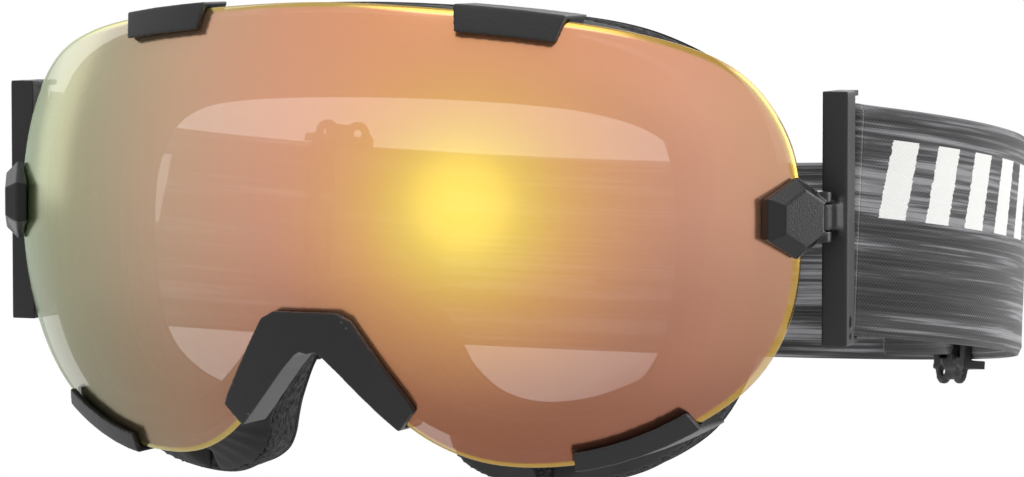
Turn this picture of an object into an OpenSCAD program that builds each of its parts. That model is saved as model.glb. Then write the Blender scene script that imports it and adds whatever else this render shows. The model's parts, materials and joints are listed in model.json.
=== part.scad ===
// Ski goggles with a spherical double lens, a strap on swinging outriggers and
// two strap sliders. Millimetres, +Z up, +Y towards the wearer's face.
// The origin is the middle of the face seat. Most shapes are drawn from the
// front of the lens, and seated() moves them back to that origin.

/* [Lens] */
// Radius of the ball that the outer lens is cut from
lens_r = 109; // [104:0.5:130]
// Thickness of the outer lens
lens_t = 1.2; // [0.9:0.1:2]
// Thickness of the inner lens
inner_lens_t = 0.9; // [0.6:0.1:1.5]
// Air gap between the two lenses
air_gap = 4.6; // [3:0.1:6]
// Width of the foam gasket between the lenses
gasket_w = 4.5; // [3:0.5:6]

/* [Frame] */
// Depth from the front of the lens to the middle of the face seat
seat_depth = 48; // [44:1:58]
// Radius of the face that the foam fits
face_r = 112; // [104:1:140]
// How far the face seat steps forward over the bridge of the nose
nose_relief = 9; // [8:0.5:16]
// Wall of the soft frame
frame_wall = 2.2; // [1.5:0.1:3]
// Width of the rigid lens carrier
carrier_w = 2.4; // [1.8:0.1:3.2]
// Depth of the rigid lens carrier behind the outer lens
carrier_d = 7; // [6.8:0.1:9]
// Length of one vent window
vent_len = 17; // [8:1:18]
// Clearance between fitted rigid pieces
fit = 0.2; // [0.1:0.05:0.4]

/* [Foam] */
// Thickness of the firm foam on the frame
firm_foam_t = 6; // [4:0.5:8]
// Thickness of the soft foam
soft_foam_t = 8; // [5:0.5:10]
// Thickness of the fleece on the foam
fleece_t = 1.4; // [0.8:0.1:2]
// Width that the fleece and soft foam step in from the frame's edge
foam_step = 0.8; // [0.4:0.1:2]

/* [Clips] */
// How far a clip stands out from the lens
clip_proud = 1.9; // [1.2:0.1:3]
// How far a clip's lip covers the face of the lens
clip_lip = 4.4; // [3:0.1:6]
// How far a clip stands past the edge of the lens
clip_over = 1.3; // [0.8:0.1:2]
// Length of a bottom clip's lip over the face of the lens
low_clip_lip = 2.9; // [2:0.1:4]

/* [Hubs and outriggers] */
// Width of the hexagonal hub cap along the lens
hub_w = 17.6; // [14:0.2:20]
// Height of the hexagonal hub cap
hub_h = 17.4; // [14:0.2:20]
// Diameter of the hinge pin
hinge_pin_d = 2.4; // [1.6:0.1:3]
// Width and depth of the outrigger's post
post_w = 5.7; // [4.5:0.1:7]
// Thickness of the ears at the ends of the outrigger's post
ear_t = 1.2; // [1:0.1:2]
// Gap between an ear and the edge of the strap
ear_gap = 1.1; // [0.8:0.1:2]
// Diameter of the bar that holds the strap
strap_bar_d = 2.6; // [2:0.1:3]

/* [Strap] */
// Width of the strap
strap_w = 49.4; // [36:0.2:50]
// Thickness of the strap
strap_t = 2; // [1.4:0.1:2.6]
// Radius of the strap's loop
loop_r = 114.3; // [108:0.1:130]
// Angle that the loop slopes down towards the back
strap_slope = 7.35; // [0:0.05:12]
// Place of each slider, as an angle round the loop
slider_at = 43; // [30:1:55]

/* [Hidden] */
$fn = 96;

// Points of one half outline from bottom middle to top middle, as [x, z]
lens_half = [
    [0, -25.4], [4, -26.2], [15.4, -38.6], [23, -45.4], [33, -50], [45, -51],
    [58, -49], [71.5, -43.1], [83, -33.5], [90, -19], [91.7, 0], [89.6, 17],
    [81, 31.4], [67.5, 38.5], [49, 42.6], [26, 45.1], [0, 46.4]
];
seat_half = [
    [0, -24], [5, -25.5], [15.6, -36], [23, -42], [33, -46.6], [45, -47.8],
    [57, -46], [66, -40], [73, -31], [77, -18], [78.5, 0], [76.5, 17],
    [70, 30], [60, 36.6], [46, 40.6], [25, 43.2], [0, 44.4]
];
rear_half = [
    [0, -23], [6.5, -25], [14.2, -31], [19.4, -41.5], [22.8, -51.6], [34, -56.8],
    [50, -56], [61, -51.9], [70, -42.8], [76.6, -24], [78.8, 0], [76.8, 17.4],
    [70.8, 30], [61, 37.6], [47.6, 42.4], [26, 45], [0, 46]
];
eye_half = [
    [0, -13], [8, -15.6], [16, -22.5], [20.2, -31.5], [26, -37.8], [34, -40.4],
    [45, -39.4], [57, -34.6], [64.5, -27], [68, -14], [68.6, 0], [66, 10],
    [59, 18.4], [48, 22.8], [35, 24.8], [18, 26], [0, 26.4]
];
steps = 3;
nose_reach = 42;

inner_r = lens_r - lens_t - air_gap - 2 * fit;
frame_r = lens_r - lens_t - carrier_d - 2 * fit;
foam_t = firm_foam_t + soft_foam_t + fleece_t;
side_names = [-1, 1];

// The side edge of the outer lens, and of the frame behind it
side_x = lens_half[10].x;
side_y = lens_r - sqrt(lens_r * lens_r - side_x * side_x);
seat_x = seat_half[10].x;
rear_x = rear_half[10].x;
frame_front = lens_r - sqrt(frame_r * frame_r - seat_x * seat_x);
frame_rear = seat_depth + face_r - sqrt(face_r * face_r - rear_x * rear_x) - foam_t - fit;

// Hub: the cap's middle at the lens's side edge, and its turn
hub_z = 1;
hub_turn = 24.7;
hub_x = side_x + 2.3;
hub_y = side_y - 2.975;
hub_deep = 9;
cap_bevel = 2.6;
// The hinge behind the cap
pin_play = 0.15;
pin_x = hub_x - 0.4;
pin_y = hub_y + 8.5;
screw_y = pin_y - 2.6;
// The hub's arm reaches the side of the frame, and its screw the inside
arm_x = seat_x + (rear_x - seat_x) * (screw_y - frame_front) / (frame_rear - frame_front) + 0.84;
screw_x = arm_x - 3.5;
knuckle_d = hinge_pin_d + 4;
knuckle_h = 5.6;
lug_t = 2.6;
// The post behind the hinge, and the strap's bar behind the post
post_x = pin_x + 2.8;
post_y = pin_y + knuckle_d / 2 + post_w / 2 + 0.55;
post_z = 0.3;
post_h = strap_w + 2 * (ear_t + ear_gap);
strap_bar_x = post_x - 0.8;
strap_bar_y = post_y + post_w / 2 + strap_t + strap_bar_d / 2 + 0.85;
ear_len = strap_bar_y - post_y + strap_bar_d / 2 + 0.9;
// The strap's loop, which passes just outside the strap's bars
loop_y = strap_bar_y + sqrt(loop_r * loop_r - pow(strap_bar_x + 2.114, 2));
tilt_y = strap_bar_y + 0.8;
strap_z = -0.4;
seam_r = 24;
seam_gap = 0.5;
slider_w = 17;
slider_t = 1.8;
slider_gap = 0.35;
slider_over = 3.4;
inside_r = loop_r - strap_t / 2;

// Curve between b and c of four points
function bend(a, b, c, d, t) =
    0.5 * (2 * b + (c - a) * t + (2 * a - 5 * b + 4 * c - d) * t * t
        + (3 * b - a - 3 * c + d) * t * t * t);
// Smooth half outline through its points, with its ends square to the middle
function smooth(k) =
    let (m = len(k) - 1,
        e = concat([[-k[1].x, k[1].y]], k, [[-k[m - 1].x, k[m - 1].y]]))
    [for (i = [0:m - 1], j = [0:steps - 1])
        bend(e[i], e[i + 1], e[i + 2], e[i + 3], j / steps), k[m]];
// Both halves as one closed outline
function outline(k) =
    let (h = smooth(k), m = len(h) - 1)
    concat(h, [for (i = [m - 1:-1:1]) [-h[i].x, h[i].y]]);
// Outline moved outwards by d
function grown(p, d) =
    let (n = len(p))
    [for (i = [0:n - 1])
        let (t = p[(i + 1) % n] - p[(i + n - 1) % n], u = t / norm(t))
        p[i] + d * [u.y, -u.x]];
// Outline laid on the ball of radius r behind the lens
function on_ball(p, r) =
    [for (q = p) [q.x, lens_r - sqrt(r * r - q.x * q.x - q.y * q.y), q.y]];
// How far the face seat steps forward at a point near the nose
function over_nose(q) =
    q.y < 0 ? nose_relief * pow(max(0, 1 - pow(q.x / nose_reach, 2)), 2) : 0;
// Outline laid d in front of the face
function on_face(p, d) =
    [for (q = p) [q.x,
        seat_depth + face_r - sqrt(face_r * face_r - q.x * q.x) - over_nose(q) - d, q.y]];

lens_edge = outline(lens_half);
seat_edge = outline(seat_half);
rear_edge = outline(rear_half);
eye_edge = outline(eye_half);

// The frame's front and rear loops, and its outer wall where the flange is frame_wall thick
frame_front_loop = on_ball(seat_edge, frame_r);
frame_rear_loop = on_face(rear_edge, foam_t + fit);
flange_line = [for (i = [0:len(rear_edge) - 1])
    rear_edge[i] + (seat_edge[i] - rear_edge[i])
        * frame_wall / (frame_rear_loop[i].y - frame_front_loop[i].y)];

// Moves a shape drawn from the front of the lens to the face seat's origin
module seated() translate([0, -seat_depth, 0]) children();
// Mirrors a shape drawn on the +X side when side is -1
module on_side(side) mirror([side < 0 ? 1 : 0, 0, 0]) children();
// Straight prism along Y over an outline
module prism(p) rotate([90, 0, 0]) translate([0, 0, -140]) linear_extrude(200) polygon(p);
// Ball behind the lens
module ball(r) translate([0, lens_r, 0]) sphere(r);
// Curved sheet between two radii of the ball
module shell(outer, inner) difference() { ball(outer); ball(inner); }
// Solid ring through closed loops of points, each joined to the next
module ring(loops) {
    k = len(loops);
    n = len(loops[0]);
    polyhedron(
        points = [for (l = loops) each l],
        faces = [for (a = [0:k - 1], i = [0:n - 1], h = [0, 1])
            let (b = (a + 1) % k, j = (i + 1) % n, p = a * n, q = b * n)
            b > 0 ? (h == 0 ? [p + i, p + j, q + j] : [p + i, q + j, q + i])
                : (h == 0 ? [p + i, p + j, q + i] : [p + j, q + j, q + i])]);
}
// The space that the outer lens needs, with its clearance
module lens_space() intersection() {
    shell(lens_r + fit, lens_r - lens_t - fit);
    prism(grown(lens_edge, fit));
}
// The space behind the outer lens that the carrier needs
module carrier_space() intersection() {
    ball(lens_r - lens_t);
    prism(grown(seat_edge, fit));
}

module outer_lens() color("sandybrown", 0.8) seated() intersection() {
    shell(lens_r, lens_r - lens_t);
    prism(lens_edge);
}
module lens_gasket() color([0.15, 0.15, 0.15]) seated() intersection() {
    shell(lens_r - lens_t - fit, lens_r - lens_t - fit - air_gap);
    difference() {
        prism(grown(seat_edge, -carrier_w - fit));
        prism(grown(seat_edge, -carrier_w - gasket_w));
    }
}
module inner_lens() color("whitesmoke", 0.4) seated() intersection() {
    shell(inner_r, inner_r - inner_lens_t);
    prism(grown(seat_edge, -carrier_w - fit));
}
module lens_carrier() color([0.1, 0.1, 0.1]) seated() intersection() {
    shell(lens_r - lens_t - fit, lens_r - lens_t - carrier_d);
    difference() {
        prism(seat_edge);
        prism(grown(seat_edge, -carrier_w));
    }
}

// Middle of a vent window: place along the frame, and which wall it cuts
vents = [[-36, 1], [-12.5, 1], [12.5, 1], [36, 1], [-46, -1], [46, -1]];
module vent_window(x, wall) {
    z = wall > 0 ? 45 : -52;
    front = lens_r - sqrt(frame_r * frame_r - x * x - 44 * 44);
    rear = seat_depth + face_r - sqrt(face_r * face_r - x * x) - foam_t;
    translate([x - vent_len / 2, front + 2.4, z - 6]) cube([vent_len, rear - front - 5.6, 12]);
}
module frame() color([0.12, 0.12, 0.12]) seated() difference() {
    ring([
        frame_front_loop,
        frame_rear_loop,
        on_face(grown(eye_edge, 0.6), foam_t + fit),
        on_face(grown(eye_edge, 0.6), foam_t + fit + frame_wall),
        on_face(grown(flange_line, -frame_wall), foam_t + fit + frame_wall),
        on_ball(grown(seat_edge, -frame_wall), frame_r)
    ]);
    for (v = vents) vent_window(v[0], v[1]);
    for (s = side_names) on_side(s) hub_bolt_hole();
}
module vent_foam_band(x0, x1, z0, z1, deep) intersection() {
    shell(frame_r - 0.6, frame_r - 0.6 - deep);
    difference() {
        prism(grown(seat_edge, -frame_wall - 0.9));
        prism(grown(seat_edge, -frame_wall - 3.4));
    }
    translate([x0, 0, z0]) cube([x1 - x0, 80, z1 - z0]);
}
module top_vent_foam() color([0.2, 0.2, 0.2]) seated() vent_foam_band(-46, 46, 20, 60, 6);
module bottom_vent_foam() color([0.2, 0.2, 0.2]) seated() {
    vent_foam_band(34, 57, -60, -34, 3.4);
    vent_foam_band(-57, -34, -60, -34, 3.4);
}

module foam_layer(near, far, inset) ring([
    on_face(grown(rear_edge, -inset), near),
    on_face(grown(rear_edge, -inset), far),
    on_face(eye_edge, far),
    on_face(eye_edge, near)
]);
module firm_foam() color([0.18, 0.18, 0.19]) seated()
    foam_layer(foam_t, soft_foam_t + fleece_t + fit, foam_step / 2);
module soft_foam() color([0.22, 0.22, 0.23]) seated()
    foam_layer(soft_foam_t + fleece_t, fleece_t + fit, foam_step);
module face_fleece() color([0.13, 0.13, 0.14]) seated() foam_layer(fleece_t, 0, foam_step);

// A lens clip: a lip over the lens, a wall past its edge and a leg to the carrier
module lens_clip(front, lip) difference() {
    intersection() {
        shell(lens_r + clip_proud, lens_r - lens_t - carrier_d);
        prism(front);
        difference() {
            prism(grown(lens_edge, clip_over));
            prism(grown(lens_edge, -lip));
        }
    }
    lens_space();
    carrier_space();
}
module top_clip(side) on_side(side)
    lens_clip([[27.6, 50], [52, 50], [47.8, 34], [30.6, 34]], clip_lip);
module bottom_clip(side) on_side(side)
    lens_clip([[50, -58], [76, -48], [70.6, -37], [51.4, -44]], low_clip_lip);
module top_right_clip() color([0.16, 0.16, 0.17]) seated() top_clip(1);
module top_left_clip() color([0.16, 0.16, 0.17]) seated() top_clip(-1);
module bottom_right_clip() color([0.16, 0.16, 0.17]) seated() bottom_clip(1);
module bottom_left_clip() color([0.16, 0.16, 0.17]) seated() bottom_clip(-1);
module nose_clip() color([0.16, 0.16, 0.17]) seated() difference() {
    intersection() {
        shell(lens_r + clip_proud + 0.5, lens_r - lens_t - carrier_d);
        prism([[0, -60], [12, -50], [21.6, -38.4], [20.4, -36], [10, -19.4], [7, -17.8],
            [-7, -17.8], [-10, -19.4], [-20.4, -36], [-21.6, -38.4], [-12, -50]]);
        prism(grown(lens_edge, clip_over));
    }
    lens_space();
    carrier_space();
}

// Places a shape on the hub, with +Z of the shape out through the cap
module at_hub() translate([hub_x, hub_y, hub_z]) rotate([0, 0, -hub_turn]) rotate([0, 90, 0])
    children();
// Hexagon with upright sides, a wide and b tall, drawn on the hub
function hexagon(a, b) = [
    [b / 2, 0], [b / 4, a / 2], [-b / 4, a / 2], [-b / 2, 0], [-b / 4, -a / 2], [b / 4, -a / 2]];
module hub_bolt_hole() translate([screw_x - 7, screw_y, hub_z]) rotate([0, 90, 0])
    cylinder(d = 2 + fit, h = 20);
module hub() difference() {
    union() {
        at_hub() hull() {
            linear_extrude(0.01) polygon(hexagon(hub_w - 2 * cap_bevel, hub_h - 2 * cap_bevel));
            translate([0, 0, -cap_bevel]) linear_extrude(0.01) polygon(hexagon(hub_w, hub_h));
            translate([0, 0, -hub_deep]) linear_extrude(0.01) polygon(hexagon(hub_w - 3, hub_h - 3));
        }
        translate([pin_x, pin_y, hub_z - knuckle_h / 2 - lug_t])
            cylinder(d = knuckle_d, h = knuckle_h + 2 * lug_t);
        translate([arm_x, pin_y - 5.4, hub_z - 5]) cube([pin_x - arm_x, 5.4, 10]);
    }
    intersection() {
        shell(lens_r + fit, lens_r - lens_t - fit);
        translate([0, 0, -40]) cube([hub_x, side_y + 10, 80]);
    }
    translate([pin_x, pin_y, hub_z - knuckle_h / 2 - fit])
        cylinder(d = knuckle_d + 2, h = knuckle_h + 2 * fit);
    translate([pin_x - 4, pin_y, hub_z - knuckle_h / 2 - fit])
        cube([12, 12, knuckle_h + 2 * fit]);
    translate([pin_x, pin_y, hub_z - 20]) cylinder(d = hinge_pin_d, h = 40);
    hub_bolt_hole();
}
module right_hub() color([0.2, 0.2, 0.21]) seated() on_side(1) hub();
module left_hub() color([0.2, 0.2, 0.21]) seated() on_side(-1) hub();
module hub_screw() translate([screw_x, screw_y, hub_z]) rotate([0, 90, 0]) union() {
    cylinder(d = 2, h = 12);
    translate([0, 0, -1.2]) cylinder(d = 4, h = 1.4);
}
module right_hub_screw() color("silver") seated() on_side(1) hub_screw();
module left_hub_screw() color("silver") seated() on_side(-1) hub_screw();
module hinge_pin() translate([pin_x, pin_y, hub_z - knuckle_h / 2 - lug_t])
    cylinder(d = hinge_pin_d, h = knuckle_h + 2 * lug_t);
module right_hinge_pin() color("silver") seated() on_side(1) hinge_pin();
module left_hinge_pin() color("silver") seated() on_side(-1) hinge_pin();

module outrigger() difference() {
    union() {
        translate([post_x - post_w / 2, post_y - post_w / 2, post_z - post_h / 2])
            cube([post_w, post_w, post_h]);
        translate([pin_x, pin_y, hub_z - knuckle_h / 2]) cylinder(d = knuckle_d, h = knuckle_h);
        translate([pin_x - knuckle_d / 2, pin_y, hub_z - knuckle_h / 2])
            cube([knuckle_d, post_y - pin_y, knuckle_h]);
        for (z = [post_z - post_h / 2, post_z + post_h / 2 - ear_t])
            translate([strap_bar_x - 2.2, post_y, z]) cube([4.4, ear_len, ear_t]);
    }
    translate([pin_x, pin_y, hub_z - 20]) cylinder(d = hinge_pin_d + pin_play, h = 40);
    translate([strap_bar_x, strap_bar_y, post_z - 40]) cylinder(d = strap_bar_d, h = 80);
}
module right_outrigger() color([0.2, 0.2, 0.21]) seated() on_side(1) outrigger();
module left_outrigger() color([0.2, 0.2, 0.21]) seated() on_side(-1) outrigger();
module strap_bar() translate([strap_bar_x, strap_bar_y, post_z - post_h / 2])
    cylinder(d = strap_bar_d, h = post_h);
module right_strap_bar() color("gray") seated() on_side(1) strap_bar();
module left_strap_bar() color("gray") seated() on_side(-1) strap_bar();

// Places a shape drawn round the loop's own upright axis
module at_loop() translate([0, tilt_y, strap_z]) rotate([-strap_slope, 0, 0])
    translate([0, (loop_y - tilt_y) / cos(strap_slope), 0]) children();
// Part of a band of radius r from angle a to b round the loop
module band(r, t, w, a, b) at_loop() rotate([0, 0, a]) rotate_extrude(angle = b - a)
    translate([r, -w / 2]) square([t, w]);
module hinge_disc(r) translate([pin_x, pin_y, -60]) cylinder(r = r, h = 120);
loop_start = asin((strap_bar_y - loop_y) / loop_r);
module strap_end() difference() {
    union() {
        intersection() {
            band(inside_r, strap_t, strap_w, loop_start, loop_start + 12);
            hinge_disc(seam_r);
        }
        translate([strap_bar_x, strap_bar_y, strap_z - strap_w / 2])
            cylinder(d = strap_bar_d + 2 * strap_t + 0.4, h = strap_w);
    }
    translate([strap_bar_x, strap_bar_y, -60]) cylinder(d = strap_bar_d + 0.4, h = 120);
}
module right_strap_end() color([0.25, 0.25, 0.26]) seated() on_side(1) strap_end();
module left_strap_end() color([0.25, 0.25, 0.26]) seated() on_side(-1) strap_end();
module strap() color([0.25, 0.25, 0.26]) seated() difference() {
    band(inside_r, strap_t, strap_w, loop_start, 180 - loop_start);
    for (s = side_names) on_side(s) hinge_disc(seam_r + seam_gap);
}
module grip_strips() color([0.1, 0.1, 0.1]) seated()
    for (z = [-14, -7, 0, 7, 14])
        at_loop() rotate([0, 0, 78]) rotate_extrude(angle = 24)
            translate([inside_r - 0.7, z - 0.9]) square([0.6, 1.8]);

// A three-bar slider on the inside of the strap, with a rail past each edge
slider_half = slider_w / 2 / loop_r * 180 / PI;
bar_half = 1.5 / loop_r * 180 / PI;
slider_plate_r = inside_r - slider_gap - slider_t;
slider_tall = strap_w + 2 * slider_over;
rail_t = slider_over - slider_gap - 1;
// Places a shape on an ear of the slider, with +Z of the shape pointing outwards
module at_ear(end, side) at_loop() rotate([0, 0, slider_at + side * slider_half * 0.5])
    translate([slider_plate_r, 0, end * (slider_tall / 2 - 0.6)]) rotate([0, 90, 0]) children();
module slider() difference() {
    union() {
        band(slider_plate_r, slider_t, slider_tall - 2, slider_at - slider_half, slider_at + slider_half);
        for (end = [-1, 1]) {
            at_loop() rotate([0, 0, slider_at - slider_half]) rotate_extrude(angle = 2 * slider_half)
                translate([slider_plate_r + 0.4, end * (strap_w / 2 + slider_gap + rail_t / 2) - rail_t / 2])
                    square([slider_t + slider_gap + strap_t + 1, rail_t]);
            for (side = [-1, 1]) at_ear(end, side) translate([0, 0, 0.2]) cylinder(d = 6.4, h = slider_t - 0.5);
        }
    }
    for (side = [-1, 1]) {
        inner = slider_at + side * bar_half;
        outer = slider_at + side * (slider_half - 2 * bar_half);
        band(slider_plate_r - 1, slider_t + 1.2, strap_w - 0.8, min(inner, outer), max(inner, outer));
        for (end = [-1, 1]) at_ear(end, side) translate([0, 0, -2]) cylinder(d = 2.4, h = slider_t + 4);
    }
}
module right_slider() color([0.15, 0.15, 0.15]) seated() on_side(1) slider();
module left_slider() color([0.15, 0.15, 0.15]) seated() on_side(-1) slider();
// The sewn loop of webbing round the slider's middle bar
module slider_loop() {
    outer = inside_r - slider_gap - slider_t - 0.3;
    band(outer - 1.4, 1.4, strap_w - 2, slider_at - 1, slider_at + 14);
}
module right_slider_loop() color([0.25, 0.25, 0.26]) seated() on_side(1) slider_loop();
module left_slider_loop() color([0.25, 0.25, 0.26]) seated() on_side(-1) slider_loop();

outer_lens();
lens_gasket();
inner_lens();
lens_carrier();
frame();
nose_clip();
top_left_clip();
top_right_clip();
bottom_left_clip();
bottom_right_clip();
top_vent_foam();
bottom_vent_foam();
firm_foam();
soft_foam();
face_fleece();
left_hub();
right_hub();
left_hub_screw();
right_hub_screw();
left_hinge_pin();
right_hinge_pin();
left_outrigger();
right_outrigger();
left_strap_bar();
right_strap_bar();
left_strap_end();
right_strap_end();
strap();
grip_strips();
left_slider();
right_slider();
left_slider_loop();
right_slider_loop();
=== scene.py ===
import json
import math
import bmesh
import bpy
import numpy as np
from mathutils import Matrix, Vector


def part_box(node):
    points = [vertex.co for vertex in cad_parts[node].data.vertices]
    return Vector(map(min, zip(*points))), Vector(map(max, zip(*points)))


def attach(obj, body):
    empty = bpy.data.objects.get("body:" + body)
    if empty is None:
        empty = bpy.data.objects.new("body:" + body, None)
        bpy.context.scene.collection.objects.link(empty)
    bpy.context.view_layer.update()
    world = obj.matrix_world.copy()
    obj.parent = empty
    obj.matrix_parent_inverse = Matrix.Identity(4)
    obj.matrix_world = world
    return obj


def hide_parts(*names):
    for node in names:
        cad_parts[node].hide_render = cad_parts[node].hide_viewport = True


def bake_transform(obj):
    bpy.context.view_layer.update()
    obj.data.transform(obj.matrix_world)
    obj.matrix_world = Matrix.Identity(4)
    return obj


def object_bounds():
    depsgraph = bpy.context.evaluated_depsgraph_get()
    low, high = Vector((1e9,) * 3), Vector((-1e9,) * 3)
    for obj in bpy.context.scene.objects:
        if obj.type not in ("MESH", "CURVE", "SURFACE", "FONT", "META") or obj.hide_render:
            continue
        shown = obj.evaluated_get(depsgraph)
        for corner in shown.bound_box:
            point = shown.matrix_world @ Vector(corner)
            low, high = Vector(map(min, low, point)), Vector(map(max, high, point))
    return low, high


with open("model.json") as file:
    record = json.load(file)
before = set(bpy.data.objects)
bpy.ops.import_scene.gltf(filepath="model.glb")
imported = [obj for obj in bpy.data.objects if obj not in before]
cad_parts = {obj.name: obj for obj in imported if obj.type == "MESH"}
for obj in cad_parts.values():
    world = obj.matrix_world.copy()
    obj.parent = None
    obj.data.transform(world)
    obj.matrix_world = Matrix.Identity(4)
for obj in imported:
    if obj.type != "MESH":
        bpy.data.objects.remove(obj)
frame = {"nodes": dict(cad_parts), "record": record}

nodes = frame["nodes"]
joints = {j["name"]: j for j in frame["record"]["behaviour"]["joints"]}
cad_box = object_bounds()

# Camera. It stands a little to the wearer's left of straight ahead and just above
# the middle of the lens, on a long lens that keeps the goggles' true proportions.
turn, rise = math.radians(21.478), math.radians(3.842)
back = Vector((math.sin(turn) * math.cos(rise), -math.cos(turn) * math.cos(rise), math.sin(rise)))
aim = Vector((0.03063, -0.008, -0.00421))
optics = bpy.data.cameras.new("long_lens")
optics.lens, optics.sensor_width = 161.6, 36
optics.clip_start, optics.clip_end = 0.05, 60
camera = bpy.data.objects.new("camera", optics)
camera.location = aim + 0.9792 * back
camera.rotation_euler = (-back).to_track_quat("-Z", "Y").to_euler()
bpy.context.collection.objects.link(camera)
bpy.context.scene.camera = camera
bpy.context.scene.view_settings.view_transform = "Standard"


# Studio. A pale matt floor lies well below the goggles and a plain white room is
# round them, which glossy and clear pieces show too. Soft boxes give the light.
def paint(code):
    """Linear colour of an sRGB hex value."""
    parts = [int(code[i:i + 2], 16) / 255 for i in (1, 3, 5)]
    return [c / 12.92 if c <= 0.04045 else ((c + 0.055) / 1.055) ** 2.4 for c in parts] + [1.0]


def put(tree, kind, sockets=None, stops=(), **settings):
    """Adds a node with its settings, its sockets' values or links, and a ramp's stops."""
    node = tree.nodes.new(kind)
    for name, value in settings.items():
        setattr(node, name, value)
    for name, value in (sockets or {}).items():
        if isinstance(value, bpy.types.NodeSocket):
            tree.links.new(value, node.inputs[name])
        else:
            node.inputs[name].default_value = value
    for n, (at, colour) in enumerate(stops):
        bars = node.color_ramp.elements
        bar = bars[n] if n < 2 else bars.new(at)
        bar.position = at
        bar.color = paint(colour) if isinstance(colour, str) else (colour, colour, colour, 1)
    return node


room = bpy.data.worlds.new("white_room")
room.use_nodes = True
sky = room.node_tree
ray = put(sky, "ShaderNodeLightPath").outputs
seen = put(sky, "ShaderNodeMath", {0: ray["Is Camera Ray"], 1: ray["Is Glossy Ray"]}, operation="ADD")
seen = put(sky, "ShaderNodeMath", {0: seen.outputs[0], 1: ray["Is Transmission Ray"]},
           operation="ADD", use_clamp=True)
level = put(sky, "ShaderNodeMapRange", {"Value": seen.outputs[0], "To Min": 0.55, "To Max": 1.0})
sky.nodes["Background"].inputs["Color"].default_value = (1, 1, 1, 1)
sky.links.new(level.outputs["Result"], sky.nodes["Background"].inputs["Strength"])
bpy.context.scene.world = room

floor_mesh = bpy.data.meshes.new("pale_floor")
floor_z = cad_box[0].z - 0.16
floor_mesh.from_pydata([(9 * math.cos(a), 9 * math.sin(a), floor_z)
                        for a in np.linspace(0, 2 * math.pi, 65)[:-1]], [], [list(range(64))])
floor = bpy.data.objects.new("pale_floor", floor_mesh)
bpy.context.collection.objects.link(floor)
# Matt white paper: it keeps the shadow near the goggles, and further off it
# turns into the white of the room.
paper = bpy.data.materials.new("matt_white_paper")
paper.use_nodes = True
tree = paper.node_tree
far = put(tree, "ShaderNodeVectorMath", {0: put(tree, "ShaderNodeTexCoord").outputs["Object"],
                                         1: (0, 0.05, floor_z)}, operation="DISTANCE")
far = put(tree, "ShaderNodeMapRange", {"Value": far.outputs["Value"], "From Min": 0.35, "From Max": 1.0},
          interpolation_type="SMOOTHSTEP")
ray = put(tree, "ShaderNodeLightPath").outputs
both = put(tree, "ShaderNodeMath", {0: ray["Is Camera Ray"], 1: ray["Is Glossy Ray"]}, operation="ADD")
both = put(tree, "ShaderNodeMath", {0: both.outputs[0], 1: ray["Is Transmission Ray"]},
           operation="ADD", use_clamp=True)
both = put(tree, "ShaderNodeMath", {0: both.outputs[0], 1: far.outputs["Result"]}, operation="MULTIPLY")
white = put(tree, "ShaderNodeEmission", {"Color": (1, 1, 1, 1), "Strength": 1.0})
matt = tree.nodes["Principled BSDF"]
matt.inputs["Base Color"].default_value = paint("#f4f4f3")
matt.inputs["Roughness"].default_value = 0.9
matt.inputs["Specular IOR Level"].default_value = 0.1
mixed = put(tree, "ShaderNodeMixShader", {0: both.outputs[0], 1: matt.outputs[0], 2: white.outputs[0]})
tree.links.new(mixed.outputs[0], tree.nodes["Material Output"].inputs["Surface"])
floor_mesh.materials.append(paper)


def softbox(name, where, size, power, tint="#ffffff"):
    """Area lamp at a place, turned to the goggles."""
    lamp = bpy.data.lights.new(name, "AREA")
    lamp.shape, lamp.size, lamp.size_y = "RECTANGLE", *size
    lamp.energy, lamp.color = power, paint(tint)[:3]
    stand = bpy.data.objects.new(name, lamp)
    stand.location = where
    stand.rotation_euler = (Vector((0, 0.04, 0)) - stand.location).to_track_quat("-Z", "Y").to_euler()
    bpy.context.collection.objects.link(stand)
    return lamp


softbox("top_box", (0.25, -0.35, 1.35), (1.2, 0.9), 9)
softbox("right_box", (1.15, 0.85, 0.4), (0.5, 1.2), 10)
softbox("left_box", (-1.3, 0.5, 0.5), (0.5, 1.2), 1.6)
softbox("back_box", (0.2, 1.5, 0.7), (1.2, 0.6), 5)
glow = softbox("warm_front_box", (0.31, -1.21, 0.045), (0.5, 0.5), 0.3, "#ffe8cc")
glow.shape = "DISK"


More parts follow.
